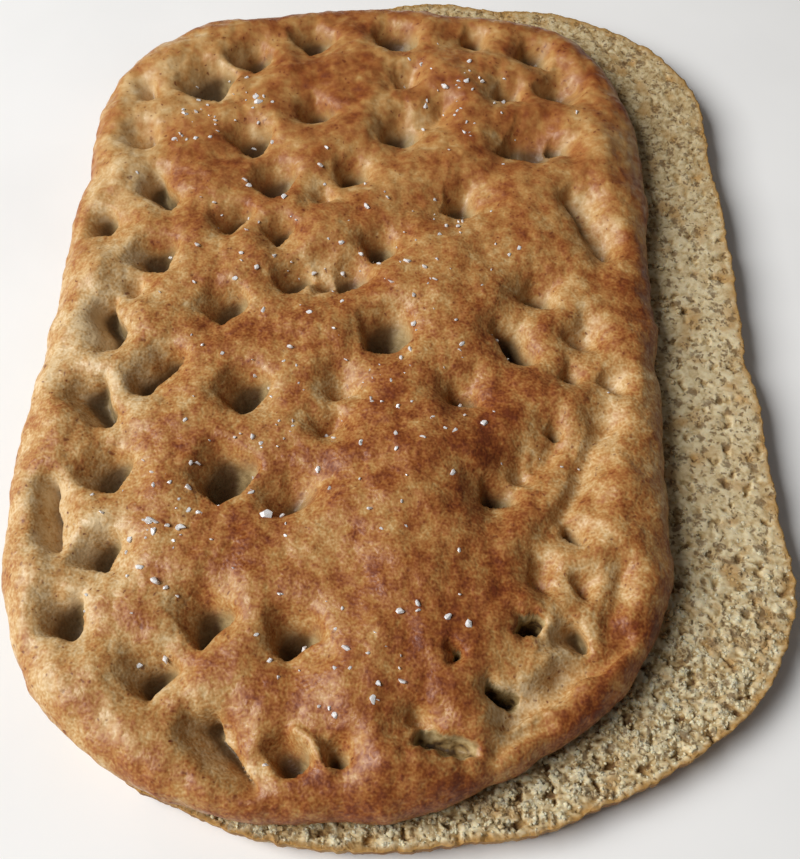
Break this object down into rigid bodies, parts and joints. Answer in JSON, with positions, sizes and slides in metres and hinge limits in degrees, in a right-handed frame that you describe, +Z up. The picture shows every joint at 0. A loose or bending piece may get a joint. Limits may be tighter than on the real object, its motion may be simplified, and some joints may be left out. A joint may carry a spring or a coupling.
{
  "type": "focaccia",
  "caption": "Flat, round-cornered focaccia split level: its finger-dimpled crust, strewn with coarse salt, lies askew on its base, which shows its crumb.",
  "frame": {"origin": "on the surface that the base lies on, under the middle of both halves", "axes": "+X to the side where the crumb shows, +Y along the loaf from its front to its back, +Z up"},
  "size_m": [0.2362, 0.3246, 0.0305],
  "materials": {
    "crust": "baked crust, red-brown and oiled, paler in the dimples",
    "crumb": "torn wholemeal crumb, open and matt"
  },
  "bodies": {
    "root": {"top_half": "crust", "base_half": "crumb"}
  },
  "joints": []
}
